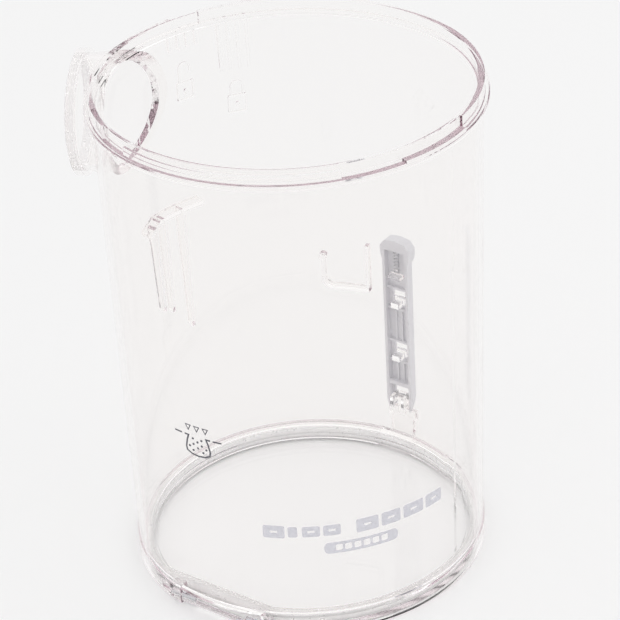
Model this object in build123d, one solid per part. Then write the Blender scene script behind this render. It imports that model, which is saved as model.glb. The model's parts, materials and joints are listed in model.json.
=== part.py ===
from build123d import *
import math
import os

# Clear dust cup of a bagless vacuum cleaner, millimetres.
# Z is the axis of the cup and Z = 0 is the plane that it stands on. The door's hinge is at -Y, the release
# rod and the latch are at +Y, and the inlet port looks towards -X.

# ---- cup: radii and heights ----
RIM_TOP_Z = 220.3          # top edge of the rim
RIM_R = 80.0               # outside of the bayonet segments on the rim
RIM_THIN_R = 78.9          # outside of the rim between the segments
RIM_INNER_R = 77.5         # mouth, where the lid's seal goes
LEDGE_Z = 214.8            # ledge at the bottom of the mouth
FLANGE_R = 82.0
FLANGE_Z = 212.1           # underside of the flange
FLANGE_T = 2.3
WALL_TOP_R = 79.4          # outside of the wall just under the flange
WALL_LOW_R = 76.0          # outside of the wall just above the skirt
WALL_T = 2.4
SKIRT_R = 76.6
SKIRT_IN_R = 73.0
SKIRT_H = 8.5
LIP_R = 70.6               # inner edge of the lip that the door's gasket meets
LIP_Z = 7.9                # underside of the lip
LIP_T = 1.2

# ---- flat of the skirt and the hinge ----
FLAT_Y = -69.6             # flat of the skirt, seen from inside
LIP_FLAT_Y = -65.4         # the lip's edge along the flat
NOTCH_HALF = 20.3          # half the width of the notch for the door's barrel
HINGE_X = 4.5              # middle of the hinge
HINGE_Y, HINGE_Z = -72.2, 3.0
BARREL_R = 2.7
KNUCKLE_R = 2.9
KNUCKLE_L = 5.2
PIN_R = 1.25
PIN_IN_BARREL = 7.0
PIN_CLEAR = 0.06           # running clearance between a pin and what turns on it

# ---- door ----
DOOR_R = 71.8
DOOR_FLAT_Y = -66.8
DOOR_T = 2.5
UPSTAND_R = 70.0
UPSTAND_T = 1.4
UPSTAND_H = 2.8
GASKET_TOP_Z = 7.6
TONGUE_HALF = 8.0
TONGUE_END = 77.0
TONGUE_SLOT_HALF = 9.0

# ---- inlet port ----
PORT_DIR = 206.6           # direction in which the port points, degrees from +X
PORT_OFFSET = -22.0        # distance of the port's axis from the cup's axis: the air enters along the wall
PORT_Z = 192.2
PORT_R = 22.0
COLLAR_R = 24.6            # outside of the collar's tube
CONE_START, CONE_END = 42.0, 88.0
CONE_R = 31.0              # radius of the cone at its start; it widens the tube where it meets the wall
COLLAR_FLANGE_R = 26.8     # flange round the collar's face
COLLAR_FLANGE_T = 3.6
COLLAR_END = 92.0          # distance of the collar's face from the cup's axis, along the port
SEAL_R = 24.8
SEAL_DEPTH = 3.0
SEAL_PROUD = 0.8
LID_CLEAR_R = 82.6         # above the flange nothing stands inside this radius, so that the lid turns

# ---- release rod ----
ROD_X = -2.9               # middle of the rod, the latch and the tongue
ROD_IN_Y = 78.3            # side that faces the wall
ROD_OUT_Y = 82.8
ROD_HALF = 6.8
ROD_SIDE_T = 1.4
CAP_FOOT_Z = 96.5          # the cap widens from here
CAP_LOW_Z = 100.0
ROD_TOP_Z = 103.6          # shoulders of the cap
CAP_CROWN_Z = 107.2
CAP_HALF = 7.8
CAP_CORNER = 2.4           # the crown's corners are cut off by this much
CAP_OUT_Y = 84.2
ROD_FORK_Z = 31.3          # top of the fork
ROD_TIP_Z = 18.7
WEDGE_Y = 80.2             # the fork's tips start here and widen outwards
WEDGE_H = 7.3
FORK_HALF = 4.2
WINDOW_HALF = 3.4
WINDOW_ZS = (72.6, 45.0)   # lower edges of the two windows
WINDOW_H = 8.2
RIB_SPANS = ((32.0, 44.0), (54.0, 71.6))   # heights of the ribs along the rod's channel

# ---- latch ----
LATCH_Y, LATCH_Z = 81.8, 24.3
LATCH_STEM_HALF = 1.9
LATCH_HALF = 7.4
LATCH_PIN_R = 1.0
EAR_IN, EAR_OUT = 2.2, 3.7

# ---- rod spring ----
SPRING_Y = 79.85
SPRING_R = 1.15
SPRING_WIRE = 0.4
SHELF_Z = 89.6
SPRING_TOP_Z = 101.6
SPRING_TURNS = 7

# ---- moulded marks and ribs, by azimuth in degrees ----
SEGMENTS = ((4.6, 153.6, RIM_TOP_Z), (163.0, 241.0, RIM_TOP_Z), (253.1, 320.6, 217.8))
UNLOCK_RIB_AZ = (155.2, 158.3, 161.5, 164.9)
LOCK_RIB_AZ = (138.2, 141.2, 144.2, 147.3)
UNLOCK_ICON = (160.2, 185.9, 1)
LOCK_ICON = (142.7, 173.6, 0)
ICON_W, ICON_H = 8.6, 8.6
BRACKET_TOP_Z = 131.9
BRACKET_WEBS = ((166.0, 72.6), (174.1, 84.6), (178.4, 87.4))
HOOK_AZ0, HOOK_AZ1 = 101.9, 117.7


def wall_r(z):
    """Outside radius of the tapered wall at height z."""
    share = (z - SKIRT_H) / (FLANGE_Z - SKIRT_H)
    return WALL_LOW_R + (WALL_TOP_R - WALL_LOW_R) * share


def on_wall(az, r, z):
    """Plane that faces outwards at azimuth az: x runs along the wall, y runs up."""
    a = math.radians(az)
    out = (math.cos(a), math.sin(a), 0)
    return Plane(origin=(r * out[0], r * out[1], z), x_dir=(-out[1], out[0], 0), z_dir=out)


def arc_band(az0, az1, r0, r1, z0, z1):
    """Part of a ring between two azimuths."""
    face = Plane.XZ * Pos((r0 + r1) / 2, (z0 + z1) / 2) * Rectangle(r1 - r0, z1 - z0)
    return Rot(0, 0, az0) * revolve(face, Axis.Z, az1 - az0)


def radial_web(az, thickness, points):
    """Flat web that stands on the wall; points are (radius, height)."""
    face = Plane.XZ * make_face(Polyline(*points, close=True))
    return Rot(0, 0, az) * extrude(face, thickness / 2, both=True)


def half_disc(r, flat_y, z0, z1):
    """Disc with one flat side, towards -Y."""
    disc = Pos(0, 0, (z0 + z1) / 2) * Cylinder(r, z1 - z0)
    return disc & Pos(0, flat_y + r, (z0 + z1) / 2) * Box(3 * r, 2 * r, z1 - z0)


def side_prism(points, half_width, centre_x=0):
    """Prism along X; points are (y, z)."""
    face = Plane.YZ * make_face(Polyline(*points, close=True))
    return Pos(centre_x, 0, 0) * extrude(face, half_width, both=True)


def x_rod(r, x0, x1, y, z):
    return Pos((x0 + x1) / 2, y, z) * Rot(0, 90, 0) * Cylinder(r, x1 - x0)


def outer_points():
    """Outside profile of the cup as (radius, height), from the base to the rim."""
    flange_top = FLANGE_Z + FLANGE_T
    return [(SKIRT_R - 0.5, 0), (SKIRT_R, 0.5), (SKIRT_R, SKIRT_H - 0.6), (WALL_LOW_R, SKIRT_H),
            (WALL_TOP_R, FLANGE_Z - 1.6), (WALL_TOP_R + 0.7, FLANGE_Z), (FLANGE_R - 0.5, FLANGE_Z),
            (FLANGE_R, FLANGE_Z + 0.5), (FLANGE_R, flange_top - 0.5), (FLANGE_R - 0.5, flange_top),
            (RIM_THIN_R, flange_top), (RIM_THIN_R, RIM_TOP_Z - 0.4), (RIM_THIN_R - 0.4, RIM_TOP_Z)]


def revolved(points):
    return revolve(Plane.XZ * make_face(Polyline(*points, close=True)), Axis.Z)


def cup_envelope():
    return revolved([(0, 0)] + outer_points() + [(0, RIM_TOP_Z)])


def cup_cavity():
    """Inside of the cup above the lip, open at the mouth."""
    top = RIM_TOP_Z + 5
    low_z = LIP_Z + LIP_T
    return revolved([(0, low_z), (WALL_LOW_R - WALL_T, low_z), (WALL_TOP_R - WALL_T, LEDGE_Z),
                     (RIM_INNER_R, LEDGE_Z), (RIM_INNER_R, RIM_TOP_Z - 0.4), (RIM_INNER_R + 0.4, RIM_TOP_Z),
                     (RIM_INNER_R + 0.4, top), (0, top)])


def port_plane(along):
    """Plane across the port, at a distance along its axis."""
    a = math.radians(PORT_DIR)
    out = (math.cos(a), math.sin(a), 0)
    side = (-out[1], out[0], 0)
    x, y = (PORT_OFFSET * side[i] + along * out[i] for i in (0, 1))
    return Plane(origin=(x, y, PORT_Z), x_dir=side, z_dir=out)


def port_cylinder(r, start, end):
    """Cylinder along the port's axis, from one distance to another."""
    return port_plane((start + end) / 2) * Cylinder(r, end - start)


def padlock(az, z, is_open):
    """Raised outline of a padlock."""
    plane = on_wall(az, wall_r(z) - 0.4, z)
    frame = RectangleRounded(ICON_W, ICON_H, 0.8) - RectangleRounded(ICON_W - 1.4, ICON_H - 1.4, 0.4)
    foot = ICON_H / 2 - 0.2
    leg_h = 6.2 if is_open else 3.8
    free_h = 1.8 if is_open else leg_h
    bow = Pos(0, foot + leg_h) * (Circle(3.1) - Circle(2.4) - Pos(0, -5) * Rectangle(10, 10))
    leg = Pos(2.75, foot + leg_h / 2) * Rectangle(0.7, leg_h)
    free_leg = Pos(-2.75, foot + leg_h - free_h / 2) * Rectangle(0.7, free_h)
    keyhole = Circle(0.8) + Pos(0, -1.1) * Rectangle(0.7, 1.8)
    return extrude(plane * (frame + bow + leg + free_leg + keyhole), 1.0)


def lock_marks():
    """Vertical ribs and padlocks that show the lid's two positions."""
    marks = padlock(*UNLOCK_ICON) + padlock(*LOCK_ICON)
    for az in UNLOCK_RIB_AZ:
        marks += radial_web(az, 1.2, [(78.6, 205.0), (80.3, 206.2), (80.8, 212.5), (78.6, 212.5)])
    for az in LOCK_RIB_AZ:
        marks += radial_web(az, 1.2, [(78.2, 189.4), (79.4, 190.4), (81.4, 212.5), (78.6, 212.5)])
    return marks


def hanger_bracket():
    """Three webs under a shelf, on which the cup hangs in the machine."""
    bracket = None
    for az, low_z in BRACKET_WEBS:
        high_z = BRACKET_TOP_Z - (2.4 if az > 177 else 0.8)
        inner = wall_r(low_z) - 0.9
        web = radial_web(az, 1.5, [(inner, low_z), (inner + 4.0, low_z + 1), (inner + 7.3, high_z),
                                   (inner + 0.4, high_z)])
        bracket = web if bracket is None else bracket + web
    r = wall_r(BRACKET_TOP_Z)
    bracket += arc_band(157.8, 176.6, r - 0.8, r + 6.2, BRACKET_TOP_Z - 2.0, BRACKET_TOP_Z)
    slope = [(0, 0), (0, -2.0), (7.6, -6.0), (7.6, -4.0)]
    face = on_wall(176.2, r - 0.8, BRACKET_TOP_Z) * make_face(Polyline(*slope, close=True))
    return bracket + extrude(face, 7.0)


def cable_hook():
    """Open U-shaped rib on the wall."""
    r = wall_r(85)
    low = arc_band(HOOK_AZ0, HOOK_AZ1 - 3.0, r - 0.8, r + 3.2, 78.6, 80.2)
    left = radial_web(HOOK_AZ1, 1.6, [(r - 0.8, 83), (r + 3.2, 83), (r + 3.2, 94.6), (r - 0.6, 94.6)])
    right = radial_web(HOOK_AZ0 + 0.5, 1.6, [(r - 0.8, 78.6), (r + 3.2, 78.6), (r + 3.2, 102), (r - 0.4, 102)])
    width = math.radians(3.4) * r
    bend = on_wall(HOOK_AZ1 - 3.2, r - 0.9, 83.2)
    corner = make_face(ThreePointArc((0, -4.6), (width * 0.72, -3.2), (width + 0.7, 0))
                       + Line((width + 0.7, 0), (width - 0.9, 0))
                       + ThreePointArc((width - 0.9, 0), (width * 0.55, -2.0), (0, -3.0))
                       + Line((0, -3.0), (0, -4.6)))
    pad = on_wall(HOOK_AZ1, r - 0.8, 95.0) * Cylinder(1.7, 7.0)
    return low + left + right + extrude(bend * corner, 4.1) + pad


def rod_guides():
    """Two T-shaped posts through the rod's windows, and the shelf that the spring stands on."""
    guides = None
    head_y = ROD_OUT_Y + 0.4
    shelf_y = ROD_OUT_Y - ROD_SIDE_T - 0.4
    for low_z in WINDOW_ZS:
        z = low_z + 0.5 + 1.35
        neck = Pos(ROD_X, (75.2 + head_y + 0.1) / 2, z) * Box(4.0, head_y + 0.1 - 75.2, 2.7)
        head = Pos(ROD_X, head_y + 0.65, z) * Box(9.2, 1.3, 2.7)
        guides = neck + head if guides is None else guides + neck + head
    shelf = Pos(ROD_X, (76.0 + shelf_y) / 2, SHELF_Z - 0.8) * Box(6.6, shelf_y - 76.0, 1.6)
    peg = Pos(ROD_X, SPRING_Y, SHELF_Z + 1.0) * Cylinder(0.7, 2.2)
    return guides + shelf + peg


def latch_ears():
    ears = None
    for side in (-1, 1):
        points = [(75.4, 20.5), (82.4, 21.9), (84.2, 24.3), (82.4, 26.2), (75.6, 26.3)]
        ear = side_prism(points, (EAR_OUT - EAR_IN) / 2, ROD_X + side * (EAR_OUT + EAR_IN) / 2)
        ears = ear if ears is None else ears + ear
    return ears


def hinge_knuckles():
    knuckles = None
    for side in (-1, 1):
        x0, x1 = sorted((HINGE_X + side * NOTCH_HALF, HINGE_X + side * (NOTCH_HALF + KNUCKLE_L)))
        round_part = x_rod(KNUCKLE_R, x0, x1, HINGE_Y, HINGE_Z)
        block = Pos((x0 + x1) / 2, (HINGE_Y - 69.0) / 2, HINGE_Z + 2.4) * Box(KNUCKLE_L, 3.8, 5.0)
        both = round_part + block
        knuckles = both if knuckles is None else knuckles + both
    return knuckles


def cup_shell():
    shell = cup_envelope()
    for az0, az1, top_z in SEGMENTS:
        shell += arc_band(az0, az1, RIM_THIN_R - 0.5, RIM_R, FLANGE_Z + 1, top_z)
    shell += arc_band(339.6, 364.6, RIM_THIN_R - 0.5, FLANGE_R - 0.2, FLANGE_Z + 1, FLANGE_Z + 3.6)
    shell += lock_marks() + hanger_bracket() + cable_hook() + rod_guides() + latch_ears()
    shell -= cup_cavity()
    shell -= half_disc(SKIRT_IN_R, FLAT_Y, -1, LIP_Z)
    shell -= half_disc(LIP_R, LIP_FLAT_Y, LIP_Z - 1, LIP_Z + LIP_T + 1)
    shell -= Pos(HINGE_X, -75, LIP_Z / 2 - 0.5) * Box(2 * NOTCH_HALF, 14, LIP_Z + 1)
    shell += hinge_knuckles()
    shell -= Pos(ROD_X, 75, 2.6) * Box(2 * TONGUE_SLOT_HALF, 8, 7.2)
    shell -= x_rod(PIN_R, -40, 40, HINGE_Y, HINGE_Z)
    shell -= x_rod(LATCH_PIN_R, ROD_X - 6, ROD_X + 6, LATCH_Y, LATCH_Z)
    return shell - port_cylinder(PORT_R, 60, 110)


def inlet_collar():
    """Round duct collar that is welded to the wall round the port."""
    tube = port_cylinder(COLLAR_R, 40, COLLAR_END)
    base = port_plane((CONE_START + CONE_END) / 2) * Cone(CONE_R, COLLAR_R, CONE_END - CONE_START)
    flange = port_cylinder(COLLAR_FLANGE_R, COLLAR_END - COLLAR_FLANGE_T, COLLAR_END)
    solid = tube + base + flange - cup_envelope()
    solid -= Pos(0, 0, FLANGE_Z + FLANGE_T + 10) * Cylinder(LID_CLEAR_R, 20)
    solid -= port_cylinder(PORT_R, 60, COLLAR_END + 5)
    solid -= port_cylinder(SEAL_R, COLLAR_END - SEAL_DEPTH, COLLAR_END + 5)
    return solid.solids().sort_by(SortBy.VOLUME)[-1]


def inlet_seal():
    ring = port_cylinder(SEAL_R - 0.05, COLLAR_END - SEAL_DEPTH + 0.02, COLLAR_END + SEAL_PROUD)
    return ring - port_cylinder(PORT_R, COLLAR_END - 5, COLLAR_END + 5)


def release_rod():
    """Channel that is open towards the wall, with a wider cap, two windows and a fork."""
    depth = ROD_OUT_Y - ROD_IN_Y
    mid_y = (ROD_OUT_Y + ROD_IN_Y) / 2
    body_h = ROD_TOP_Z - ROD_TIP_Z
    rod = Pos(0, mid_y, ROD_TIP_Z + body_h / 2) * Box(2 * ROD_HALF, depth, body_h)
    top_half = CAP_HALF - CAP_CORNER
    right_side = [(ROD_HALF, CAP_FOOT_Z), (CAP_HALF, CAP_LOW_Z), (CAP_HALF, ROD_TOP_Z),
                  (top_half, CAP_CROWN_Z - 0.8)]
    left_side = [(-x, z) for x, z in reversed(right_side)]
    crown = Polyline(*right_side, (0, CAP_CROWN_Z), *left_side, close=True)
    cap = Pos(0, ROD_IN_Y, 0) * extrude(Plane.XZ * make_face(crown), -(CAP_OUT_Y - ROD_IN_Y))
    rod += cap
    inner_half = ROD_HALF - ROD_SIDE_T
    web_y = ROD_OUT_Y - ROD_SIDE_T
    rod -= side_prism([(ROD_IN_Y - 1, ROD_TIP_Z - 1), (web_y, ROD_TIP_Z - 1), (web_y, SPRING_TOP_Z + 0.1),
                       (ROD_IN_Y - 1, SPRING_TOP_Z + 0.1)], inner_half)
    fork_web = Box(2 * inner_half + 1, web_y - ROD_IN_Y, 2.0)
    rod += Pos(0, (ROD_IN_Y + web_y) / 2 + 0.3, ROD_FORK_Z + 1.0) * fork_web
    for low_z in WINDOW_ZS:
        rod -= Pos(0, ROD_OUT_Y, low_z + WINDOW_H / 2) * Box(2 * WINDOW_HALF, 8, WINDOW_H)
    for low_z in WINDOW_ZS:
        for z in (low_z - 1.2, low_z + WINDOW_H + 1.2):
            rod += Pos(0, web_y - 0.6, z) * Box(2 * inner_half + 1, 2.0, 1.0)
    for low_z, high_z in RIB_SPANS:
        for x in (-1.6, 1.6):
            rod += Pos(x, web_y - 0.3, (low_z + high_z) / 2) * Box(0.8, 1.2, high_z - low_z)
    rod -= Pos(0, mid_y, (ROD_TIP_Z + ROD_FORK_Z) / 2 - 1) * Box(2 * FORK_HALF, 12, ROD_FORK_Z - ROD_TIP_Z + 2)
    rod -= side_prism([(WEDGE_Y, ROD_TIP_Z - 1), (WEDGE_Y, ROD_TIP_Z), (ROD_OUT_Y, ROD_TIP_Z + WEDGE_H),
                       (95, ROD_TIP_Z + WEDGE_H), (95, ROD_TIP_Z - 1)], 12)
    for side in (-1, 1):
        foot = Pos(side * (ROD_HALF + 0.2), mid_y, ROD_TIP_Z + 2) * Rot(0, side * 14, 0) * Box(1.6, 12, 12)
        rod -= foot
    return Pos(ROD_X, 0, 0) * rod


def rod_spring():
    height = SPRING_TOP_Z - SHELF_Z - SPRING_WIRE - 0.1
    path = Helix(pitch=height / SPRING_TURNS, height=height, radius=SPRING_R)
    profile = Plane(origin=path @ 0, z_dir=path % 0) * Circle(SPRING_WIRE / 2)
    coil = sweep(profile, path=path, is_frenet=True)
    return Pos(ROD_X, SPRING_Y, SHELF_Z + 0.05 + SPRING_WIRE / 2) * coil


def door_latch():
    """Lever that hangs from the latch pin: stem, shoulders under the fork, and the nose at the tongue."""
    stem = side_prism([(80.2, 15.3), (83.2, 15.3), (83.8, 24.3), (80.0, 24.3)], LATCH_STEM_HALF)
    stem += x_rod(2.0, -LATCH_STEM_HALF, LATCH_STEM_HALF, LATCH_Y, LATCH_Z)
    shoulders = side_prism([(80.7, 13.3), (83.2, 13.3), (83.2, 17.7), (82.7, 18.2), (80.7, 18.2)], LATCH_HALF)
    blade = side_prism([(80.7, 14.3), (83.2, 14.3), (81.4, 0.6), (77.7, 0.6), (77.3, 1.2), (77.3, 2.6),
                        (79.4, 3.4)], LATCH_HALF - 1.2)
    lever = stem + shoulders + blade - x_rod(LATCH_PIN_R + PIN_CLEAR, -5, 5, LATCH_Y, LATCH_Z)
    return Pos(ROD_X, 0, 0) * lever


def latch_pin():
    return x_rod(LATCH_PIN_R, ROD_X - EAR_OUT, ROD_X + EAR_OUT, LATCH_Y, LATCH_Z)


def bottom_door():
    door = half_disc(DOOR_R, DOOR_FLAT_Y, 0, DOOR_T)
    door += (half_disc(UPSTAND_R, DOOR_FLAT_Y + 1.8, DOOR_T - 0.5, DOOR_T + UPSTAND_H)
             - half_disc(UPSTAND_R - UPSTAND_T, DOOR_FLAT_Y + 1.8 + UPSTAND_T, DOOR_T - 1, DOOR_T + 5))
    half = NOTCH_HALF - 0.4
    leaf = Box(2 * half, 1 + DOOR_FLAT_Y - HINGE_Y, DOOR_T - 0.6)
    door += Pos(HINGE_X, (HINGE_Y + DOOR_FLAT_Y + 1) / 2, DOOR_T / 2 + 0.3) * leaf
    door += x_rod(BARREL_R, HINGE_X - half, HINGE_X + half, HINGE_Y, HINGE_Z)
    door += side_prism([(70.5, 0), (72.6, 0), (74.4, 2.9), (TONGUE_END, 2.9), (TONGUE_END, 5.4), (73.4, 5.4),
                        (71.8, 2.5), (70.5, 2.5)], TONGUE_HALF, ROD_X)
    bore = x_rod(PIN_R + PIN_CLEAR, NOTCH_HALF - PIN_IN_BARREL - 0.3, 40, HINGE_Y, HINGE_Z)
    for side in (bore, mirror(bore, Plane.YZ)):
        door -= Pos(HINGE_X, 0, 0) * side
    return door


def door_gasket():
    inner = UPSTAND_R + 0.05
    ring = half_disc(DOOR_R - 0.1, DOOR_FLAT_Y + 0.1, DOOR_T, GASKET_TOP_Z)
    return ring - half_disc(inner, DOOR_FLAT_Y + 1.8 - 0.05, DOOR_T - 1, GASKET_TOP_Z + 1)


def hinge_pins():
    pin = x_rod(PIN_R, NOTCH_HALF - PIN_IN_BARREL, NOTCH_HALF + KNUCKLE_L, HINGE_Y, HINGE_Z)
    return Part() + [Pos(HINGE_X, 0, 0) * side for side in (pin, mirror(pin, Plane.YZ))]


PIECES = {
    "cup_shell": cup_shell,
    "inlet_collar": inlet_collar,
    "inlet_seal": inlet_seal,
    "release_rod": release_rod,
    "rod_spring": rod_spring,
    "door_latch": door_latch,
    "latch_pin": latch_pin,
    "bottom_door": bottom_door,
    "door_gasket": door_gasket,
    "hinge_pins": hinge_pins,
}

os.makedirs("parts", exist_ok=True)
for name, make in PIECES.items():
    piece = make()
    export_step(piece, f"parts/{name}.step")
    size = piece.bounding_box().size
    print(f"{name}: {len(piece.solids())} solid(s), {piece.volume / 1000:.2f} cm3, "
          f"{size.X:.1f} x {size.Y:.1f} x {size.Z:.1f} mm")
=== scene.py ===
import json
import math

import bmesh
import bpy
from mathutils import Matrix, Vector


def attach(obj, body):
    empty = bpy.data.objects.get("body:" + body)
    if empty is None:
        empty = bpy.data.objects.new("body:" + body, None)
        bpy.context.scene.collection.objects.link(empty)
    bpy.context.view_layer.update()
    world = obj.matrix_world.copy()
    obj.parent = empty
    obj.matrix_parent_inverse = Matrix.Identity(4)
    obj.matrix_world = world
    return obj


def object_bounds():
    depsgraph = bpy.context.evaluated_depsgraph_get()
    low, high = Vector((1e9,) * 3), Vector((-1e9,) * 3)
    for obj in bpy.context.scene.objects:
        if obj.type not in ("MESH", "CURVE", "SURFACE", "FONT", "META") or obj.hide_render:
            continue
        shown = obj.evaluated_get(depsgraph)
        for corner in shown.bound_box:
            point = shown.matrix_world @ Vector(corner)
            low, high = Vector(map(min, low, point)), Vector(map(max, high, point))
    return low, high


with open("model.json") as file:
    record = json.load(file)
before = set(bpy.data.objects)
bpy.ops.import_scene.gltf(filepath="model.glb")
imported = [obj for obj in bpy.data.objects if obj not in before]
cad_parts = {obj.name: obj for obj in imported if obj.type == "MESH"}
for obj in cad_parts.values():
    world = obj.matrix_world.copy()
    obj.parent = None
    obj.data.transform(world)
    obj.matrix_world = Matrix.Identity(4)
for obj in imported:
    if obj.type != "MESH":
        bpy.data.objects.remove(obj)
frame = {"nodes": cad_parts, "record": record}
cad_lo, cad_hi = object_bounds()

MM = 0.001

# ---- the wall that carries the prints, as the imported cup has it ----
WALL_FOOT_Z, WALL_FOOT_R = 8.5, 76.0     # mm
WALL_HEAD_Z, WALL_HEAD_R = 212.1, 79.4
INK_LIFT, INK_T = 0.02, 0.05             # gap under the ink and its thickness, mm
FACET = 1.2                              # widest step of a print round the wall, mm

# ---- fill mark ----
MARK_AZ, MARK_Z = 271.9, 92.45           # middle of the mark, degrees and mm
MARK_LINE = 0.75                         # width of its strokes, mm

# ---- large pale print ----
PRINT_AZ, PRINT_Z = 320.0, 51.8
PILL_Z = 42.7
SLOT_MIN_W = 6.0                         # a block wider than this has a slot, mm
PILL_SLOTS = 6
PILL_STEP = 3.95                         # from one slot of the label to the next, mm

# ---- clear plastic ----
WALL_TINT, WALL_IOR = (0.996, 0.989, 0.983), 1.37
DOOR_TINT, DOOR_IOR = (1.0, 1.0, 1.0), 1.25
EDGE_CAST, EDGE_DENSITY = (0.86, 0.79, 0.82), 8.0    # mauve where light runs along inside the plastic

# ---- studio ----
LIGHT_STEPS = 200                        # light runs far inside clear rims, so it may bounce often
FLOOR_HALF, FLOOR_GAP = 4.0, 0.0004      # half width, and the gap under the cup, m
KEY_PLACE, KEY_SIZE, KEY_POWER = (0.9, 0.7, 1.3), 0.9, 1.2
KEY_AIM = (0, 0, 0.1)
CAMERA_TURN, CAMERA_TILT, CAMERA_ROLL = 36.6, 30.622, -3.241    # degrees
CAMERA_AIM, CAMERA_AWAY = (0.0037, 0.0027, 0.1117), 1.1369      # m
CAMERA_LENS, CAMERA_SENSOR = 156.36, 36.0                       # mm


# ---------------------------------------------------------------- materials

def new_material(name):
    mat = bpy.data.materials.new(name)
    mat.use_nodes = True
    tree = mat.node_tree
    shader = tree.nodes["Principled BSDF"]
    return mat, tree, shader


def add_noise(tree, scale, detail=4.0, rough=0.5):
    coords = tree.nodes.new("ShaderNodeTexCoord")
    noise = tree.nodes.new("ShaderNodeTexNoise")
    noise.inputs["Scale"].default_value = scale
    noise.inputs["Detail"].default_value = detail
    noise.inputs["Roughness"].default_value = rough
    tree.links.new(coords.outputs["Object"], noise.inputs["Vector"])
    return noise


def add_bump(tree, shader, height, strength, distance):
    bump = tree.nodes.new("ShaderNodeBump")
    bump.inputs["Strength"].default_value = strength
    bump.inputs["Distance"].default_value = distance
    tree.links.new(height, bump.inputs["Height"])
    tree.links.new(bump.outputs["Normal"], shader.inputs["Normal"])


def vary(tree, source, socket, low, high):
    """Maps a 0-1 value onto a range of a shader's number."""
    span = tree.nodes.new("ShaderNodeMapRange")
    span.inputs["From Min"].default_value = 0.3
    span.inputs["From Max"].default_value = 0.7
    span.inputs["To Min"].default_value = low
    span.inputs["To Max"].default_value = high
    tree.links.new(source, span.inputs["Value"])
    tree.links.new(span.outputs["Result"], socket)


def clear_plastic(name, tint, ior):
    """Clear moulded plastic: faint flow waviness, faint haze, a faint tint and a mauve cast in its edges."""
    mat, tree, shader = new_material(name)
    shader.inputs["Base Color"].default_value = (*tint, 1)
    shader.inputs["Transmission Weight"].default_value = 1.0
    shader.inputs["IOR"].default_value = ior
    haze = add_noise(tree, 38.0, 5.0, 0.6)
    vary(tree, haze.outputs["Fac"], shader.inputs["Roughness"], 0.01, 0.03)
    flow = add_noise(tree, 26.0, 1.0, 0.3)
    add_bump(tree, shader, flow.outputs["Fac"], 0.06, 0.0006)
    volume = tree.nodes.new("ShaderNodeVolumeAbsorption")
    volume.inputs["Color"].default_value = (*EDGE_CAST, 1)
    volume.inputs["Density"].default_value = EDGE_DENSITY
    tree.links.new(volume.outputs["Volume"], tree.nodes["Material Output"].inputs["Volume"])
    return mat


def grey_plastic():
    """Satin grey moulding with a fine spark-eroded grain, drawn opaque."""
    mat, tree, shader = new_material("grey_plastic")
    tone = add_noise(tree, 30.0, 6.0, 0.6)
    ramp = tree.nodes.new("ShaderNodeValToRGB")
    ramp.color_ramp.elements[0].position = 0.3
    ramp.color_ramp.elements[0].color = (0.65, 0.65, 0.685, 1)
    ramp.color_ramp.elements[1].position = 0.7
    ramp.color_ramp.elements[1].color = (0.7, 0.7, 0.735, 1)
    tree.links.new(tone.outputs["Fac"], ramp.inputs["Fac"])
    tree.links.new(ramp.outputs["Color"], shader.inputs["Base Color"])
    vary(tree, tone.outputs["Fac"], shader.inputs["Roughness"], 0.34, 0.46)
    shader.inputs["IOR"].default_value = 1.49
    grain = add_noise(tree, 2400.0, 3.0, 0.5)
    add_bump(tree, shader, grain.outputs["Fac"], 0.12, 0.00004)
    return mat


def soft_seal():
    """Milky clear silicone with a dull, slightly dusty surface."""
    mat, tree, shader = new_material("soft_seal")
    shader.inputs["Base Color"].default_value = (0.985, 0.98, 0.983, 1)
    shader.inputs["Transmission Weight"].default_value = 0.4
    shader.inputs["IOR"].default_value = 1.25
    dust = add_noise(tree, 300.0, 5.0, 0.65)
    vary(tree, dust.outputs["Fac"], shader.inputs["Roughness"], 0.25, 0.35)
    add_bump(tree, shader, dust.outputs["Fac"], 0.2, 0.00005)
    return mat


def spring_steel():
    """Drawn steel: fine lines along the wire."""
    mat, tree, shader = new_material("spring_steel")
    shader.inputs["Metallic"].default_value = 1.0
    shader.inputs["Base Color"].default_value = (0.62, 0.62, 0.64, 1)
    lines = add_noise(tree, 1500.0, 4.0, 0.6)
    vary(tree, lines.outputs["Fac"], shader.inputs["Roughness"], 0.22, 0.38)
    add_bump(tree, shader, lines.outputs["Fac"], 0.15, 0.00003)
    return mat


def ink(name, dark, light, alpha, rough):
    """Screen-printed ink: thin, a little uneven in tone, softly glossy."""
    mat, tree, shader = new_material(name)
    speck = add_noise(tree, 900.0, 5.0, 0.6)
    ramp = tree.nodes.new("ShaderNodeValToRGB")
    ramp.color_ramp.elements[0].position = 0.3
    ramp.color_ramp.elements[0].color = (*dark, 1)
    ramp.color_ramp.elements[1].position = 0.7
    ramp.color_ramp.elements[1].color = (*light, 1)
    tree.links.new(speck.outputs["Fac"], ramp.inputs["Fac"])
    tree.links.new(ramp.outputs["Color"], shader.inputs["Base Color"])
    shader.inputs["Roughness"].default_value = rough
    shader.inputs["Alpha"].default_value = alpha
    add_bump(tree, shader, speck.outputs["Fac"], 0.1, 0.00002)
    return mat


# ---------------------------------------------------------------- prints

def wall_r(z):
    share = (z - WALL_FOOT_Z) / (WALL_HEAD_Z - WALL_FOOT_Z)
    return WALL_FOOT_R + (WALL_HEAD_R - WALL_FOOT_R) * share


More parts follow.
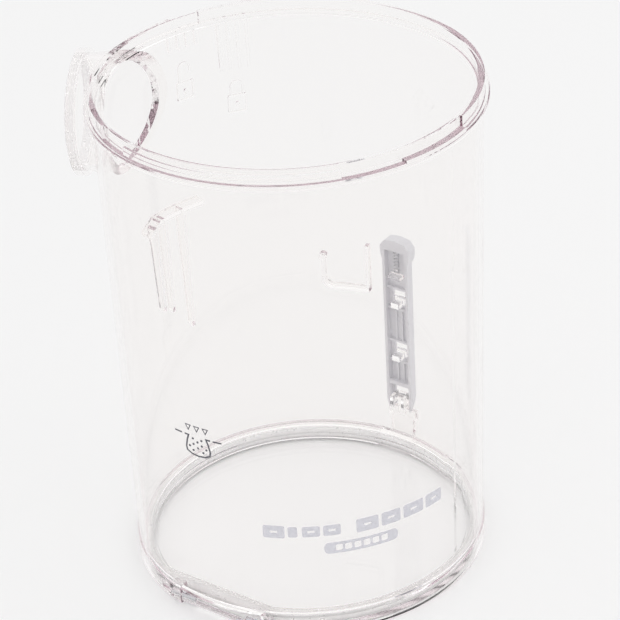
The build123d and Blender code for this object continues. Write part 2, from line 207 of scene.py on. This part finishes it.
def rounded(points, radius, steps=4):
    """A closed outline with each corner rounded."""
    out = []
    count = len(points)
    for i in range(count):
        here = Vector(points[i])
        to_last = Vector(points[i - 1]) - here
        to_next = Vector(points[(i + 1) % count]) - here
        cut = min(radius, to_last.length * 0.45, to_next.length * 0.45)
        start = here + to_last.normalized() * cut
        end = here + to_next.normalized() * cut
        for k in range(steps + 1):
            t = k / steps
            out.append(start * (1 - t) ** 2 + here * 2 * t * (1 - t) + end * t ** 2)
    return out


def bar(x0, x1, y0, y1, lean=0.0, radius=0.2):
    return rounded([(x0, y0), (x1, y0), (x1 + lean, y1), (x0 + lean, y1)], radius)


def disc(x, y, r, steps=14):
    return [Vector((x + r * math.cos(2 * math.pi * k / steps), y + r * math.sin(2 * math.pi * k / steps)))
            for k in range(steps)]


def stroke(points, width, closed=False):
    """Outlines of a line of even width through the points."""
    half = width / 2
    sides = ([], [])
    count = len(points)
    for i in range(count):
        here = Vector(points[i])
        before = Vector(points[i - 1]) if closed or i > 0 else None
        after = Vector(points[(i + 1) % count]) if closed or i < count - 1 else None
        d1 = (here - before).normalized() if before is not None else (after - here).normalized()
        d2 = (after - here).normalized() if after is not None else d1
        n1, n2 = Vector((-d1.y, d1.x)), Vector((-d2.y, d2.x))
        mitre = (n1 + n2).normalized()
        reach = half / max(mitre.dot(n1), 0.35)
        sides[0].append(here + mitre * reach)
        sides[1].append(here - mitre * reach)
    if closed:
        return [sides[0], sides[1]]
    return [sides[0] + sides[1][::-1]]


def flat_shape(name, outlines):
    """A filled flat mesh from closed outlines; an outline inside another is a hole."""
    curve = bpy.data.curves.new(name, "CURVE")
    curve.dimensions = "2D"
    curve.fill_mode = "BOTH"
    for outline in outlines:
        spline = curve.splines.new("POLY")
        spline.points.add(len(outline) - 1)
        for point, p in zip(spline.points, outline):
            point.co = (p[0], p[1], 0, 1)
        spline.use_cyclic_u = True
    holder = bpy.data.objects.new(name + "_outline", curve)
    bpy.context.scene.collection.objects.link(holder)
    bpy.context.view_layer.update()
    mesh = bpy.data.meshes.new_from_object(holder)
    bpy.data.objects.remove(holder)
    mesh.name = name
    return mesh


def sliced(mesh):
    """The flat mesh cut into upright strips, so that it can bend."""
    bm = bmesh.new()
    bm.from_mesh(mesh)
    bmesh.ops.remove_doubles(bm, verts=bm.verts, dist=1e-4)
    left = min(v.co.x for v in bm.verts)
    right = max(v.co.x for v in bm.verts)
    steps = int((right - left) / FACET)
    for k in range(1, steps + 1):
        geom = bm.verts[:] + bm.edges[:] + bm.faces[:]
        x = left + (right - left) * k / (steps + 1)
        bmesh.ops.bisect_plane(bm, geom=geom, plane_co=(x, 0, 0), plane_no=(1, 0, 0))
    bm.verts.index_update()
    places = [v.co.xy for v in bm.verts]
    faces = [[v.index for v in f.verts] if f.normal.z > 0 else [v.index for v in f.verts][::-1]
             for f in bm.faces]
    bm.free()
    return places, faces


def print_on_wall(name, az, z, outlines, mat):
    """Ink of a flat design laid round the wall, centred on an azimuth and a height."""
    places, faces = sliced(flat_shape(name + "_flat", outlines))
    count = len(places)
    verts = []
    for lift in (INK_LIFT + INK_T, INK_LIFT):
        for p in places:
            height = z + p.y
            r = wall_r(height) + lift
            angle = math.radians(az) + p.x / wall_r(height)
            verts.append((r * math.cos(angle) * MM, r * math.sin(angle) * MM, height * MM))
    edges = {(a, b) for f in faces for a, b in zip(f, f[1:] + f[:1])}
    sides = [(b, a, a + count, b + count) for a, b in edges if (b, a) not in edges]
    under = [[i + count for i in reversed(f)] for f in faces]
    mesh = bpy.data.meshes.new(name)
    mesh.from_pydata(verts, [], faces + under + sides)
    mesh.materials.append(mat)
    obj = bpy.data.objects.new(name, mesh)
    bpy.context.scene.collection.objects.link(obj)
    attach(obj, "cup")
    return obj


def fill_mark(mat):
    """Dashed fill line, a full bag below it and three arrowheads above it."""
    sack = [(-4.3, 0), (-5.2, -2.6), (-5.9, -5.9), (-5.6, -7.7), (-3.4, -8.9), (0, -9.35), (3.4, -8.9),
            (5.6, -7.7), (5.9, -5.9), (5.2, -2.6), (4.3, 0)]
    shapes = [bar(-11.6, -7.7, -0.35, 0.35), bar(7.5, 11.6, -0.35, 0.35)]
    shapes += stroke([(-6.3, 0), *sack, (6.3, 0)], MARK_LINE)
    for x, y in ((-2.2, -1.2), (2.0, -1.2), (0, -2.5), (-2.1, -3.9), (2.0, -3.9), (-4.1, -5.2), (0, -5.4),
                 (4.1, -5.2), (-2.4, -7.0), (2.5, -7.0)):
        shapes.append(disc(x, y, 0.55))
    for x in (-4.2, 0, 4.2):
        shapes += stroke([(x - 1.25, 5.0), (x + 1.25, 5.0), (x, 2.6)], 0.42, closed=True)
    return print_on_wall("fill_mark", MARK_AZ, MARK_Z, shapes, mat)


def pale_band(mat):
    """A row of plain blocks in two groups; each block wider than SLOT_MIN_W has a slot."""
    blocks = ((-38.0, -29.0, 6.2), (-27.7, -23.7, 5.2), (-21.8, -14.4, 5.2), (-13.1, -5.8, 5.2),
              (0.8, 10.5, 6.6), (11.9, 20.7, 6.4), (22.2, 32.4, 6.2), (33.8, 42.8, 6.2))
    shapes = []
    for x0, x1, h in blocks:
        shapes.append(bar(x0, x1, -h / 2, h / 2, radius=0.9))
        if x1 - x0 > SLOT_MIN_W:
            middle = (x0 + x1) / 2
            shapes.append(bar(middle - 1.6, middle + 1.6, -0.5, 0.5, radius=0.4))
    return print_on_wall("pale_band", PRINT_AZ, PRINT_Z, shapes, mat)


def pale_pill(mat):
    """A rounded label with a row of slots."""
    shapes = [bar(-13.0, 19.2, -2.8, 2.8, radius=2.7)]
    for k in range(PILL_SLOTS):
        x = -8.2 + PILL_STEP * k
        shapes.append(bar(x, x + 2.9, -1.5, 1.5, radius=0.7))
    return print_on_wall("pale_pill", PRINT_AZ, PILL_Z, shapes, mat)


# ---------------------------------------------------------------- studio

def studio_floor():
    bm = bmesh.new()
    bmesh.ops.create_grid(bm, x_segments=1, y_segments=1, size=FLOOR_HALF)
    mesh = bpy.data.meshes.new("studio_floor")
    bm.to_mesh(mesh)
    bm.free()
    floor = bpy.data.objects.new("studio_floor", mesh)
    floor.location.z = cad_lo.z - FLOOR_GAP
    bpy.context.scene.collection.objects.link(floor)
    mat, tree, shader = new_material("pale_floor")
    shader.inputs["Base Color"].default_value = (0.9, 0.9, 0.9, 1)
    shader.inputs["Roughness"].default_value = 0.9
    shader.inputs["Specular IOR Level"].default_value = 0.0
    mesh.materials.append(mat)


def studio_world():
    """Even white light from above, a little greyer towards the horizon."""
    world = bpy.data.worlds.new("studio")
    bpy.context.scene.world = world
    world.use_nodes = True
    tree = world.node_tree
    coords = tree.nodes.new("ShaderNodeTexCoord")
    split = tree.nodes.new("ShaderNodeSeparateXYZ")
    ramp = tree.nodes.new("ShaderNodeValToRGB")
    ramp.color_ramp.elements[0].position = 0.0
    ramp.color_ramp.elements[0].color = (0.92, 0.905, 0.91, 1)
    ramp.color_ramp.elements[1].position = 0.55
    ramp.color_ramp.elements[1].color = (1.0, 1.0, 1.0, 1)
    tree.links.new(coords.outputs["Generated"], split.inputs["Vector"])
    tree.links.new(split.outputs["Z"], ramp.inputs["Fac"])
    back = tree.nodes["Background"]
    tree.links.new(ramp.outputs["Color"], back.inputs["Color"])
    back.inputs["Strength"].default_value = 1.0


def key_light():
    """One large weak softbox above the cup, on its +X and +Y side."""
    light = bpy.data.lights.new("key", "AREA")
    light.size = KEY_SIZE
    light.energy = KEY_POWER
    obj = bpy.data.objects.new("key", light)
    obj.location = KEY_PLACE
    obj.rotation_mode = "QUATERNION"
    obj.rotation_quaternion = (Vector(KEY_AIM) - Vector(KEY_PLACE)).to_track_quat("-Z", "Y")
    bpy.context.scene.collection.objects.link(obj)


def studio_camera():
    turn, tilt, roll = (math.radians(a) for a in (CAMERA_TURN, CAMERA_TILT, CAMERA_ROLL))
    forward = Vector((0, math.cos(tilt), -math.sin(tilt)))
    right = Vector((1, 0, 0))
    up = Vector((0, math.sin(tilt), math.cos(tilt)))
    rolled_right = right * math.cos(roll) + up * math.sin(roll)
    rolled_up = up * math.cos(roll) - right * math.sin(roll)
    facing = Matrix((rolled_right, rolled_up, -forward)).transposed()
    facing = Matrix.Rotation(turn, 3, "Z") @ facing
    data = bpy.data.cameras.new("camera")
    data.sensor_width = CAMERA_SENSOR
    data.lens = CAMERA_LENS
    camera = bpy.data.objects.new("camera", data)
    place = Vector(CAMERA_AIM) + facing.col[2] * CAMERA_AWAY
    camera.matrix_world = Matrix.Translation(place) @ facing.to_4x4()
    bpy.context.scene.collection.objects.link(camera)
    bpy.context.scene.camera = camera


def dress(node, mat):
    mesh = frame["nodes"][node].data
    mesh.materials.clear()
    mesh.materials.append(mat)


materials = {
    "clear_plastic": clear_plastic("clear_plastic", WALL_TINT, WALL_IOR),
    "grey_plastic": grey_plastic(),
    "soft_seal": soft_seal(),
    "spring_steel": spring_steel(),
}
for part in frame["record"]["subparts"]:
    dress(part["node"], materials[part["material_slot"]])
dress("bottom_door", clear_plastic("clear_plastic_door", DOOR_TINT, DOOR_IOR))

dark_ink = ink("dark_ink", (0.085, 0.085, 0.105), (0.12, 0.118, 0.14), 0.95, 0.4)
pale_ink = ink("pale_ink", (0.62, 0.62, 0.68), (0.72, 0.72, 0.78), 0.55, 0.45)
fill_mark(dark_ink)
pale_band(pale_ink)
pale_pill(pale_ink)

studio_floor()
studio_world()
key_light()
studio_camera()

bpy.context.scene.view_settings.view_transform = "Standard"
cycles = bpy.context.scene.cycles
cycles.blur_glossy = 0.0
cycles.max_bounces = cycles.transmission_bounces = cycles.glossy_bounces = LIGHT_STEPS
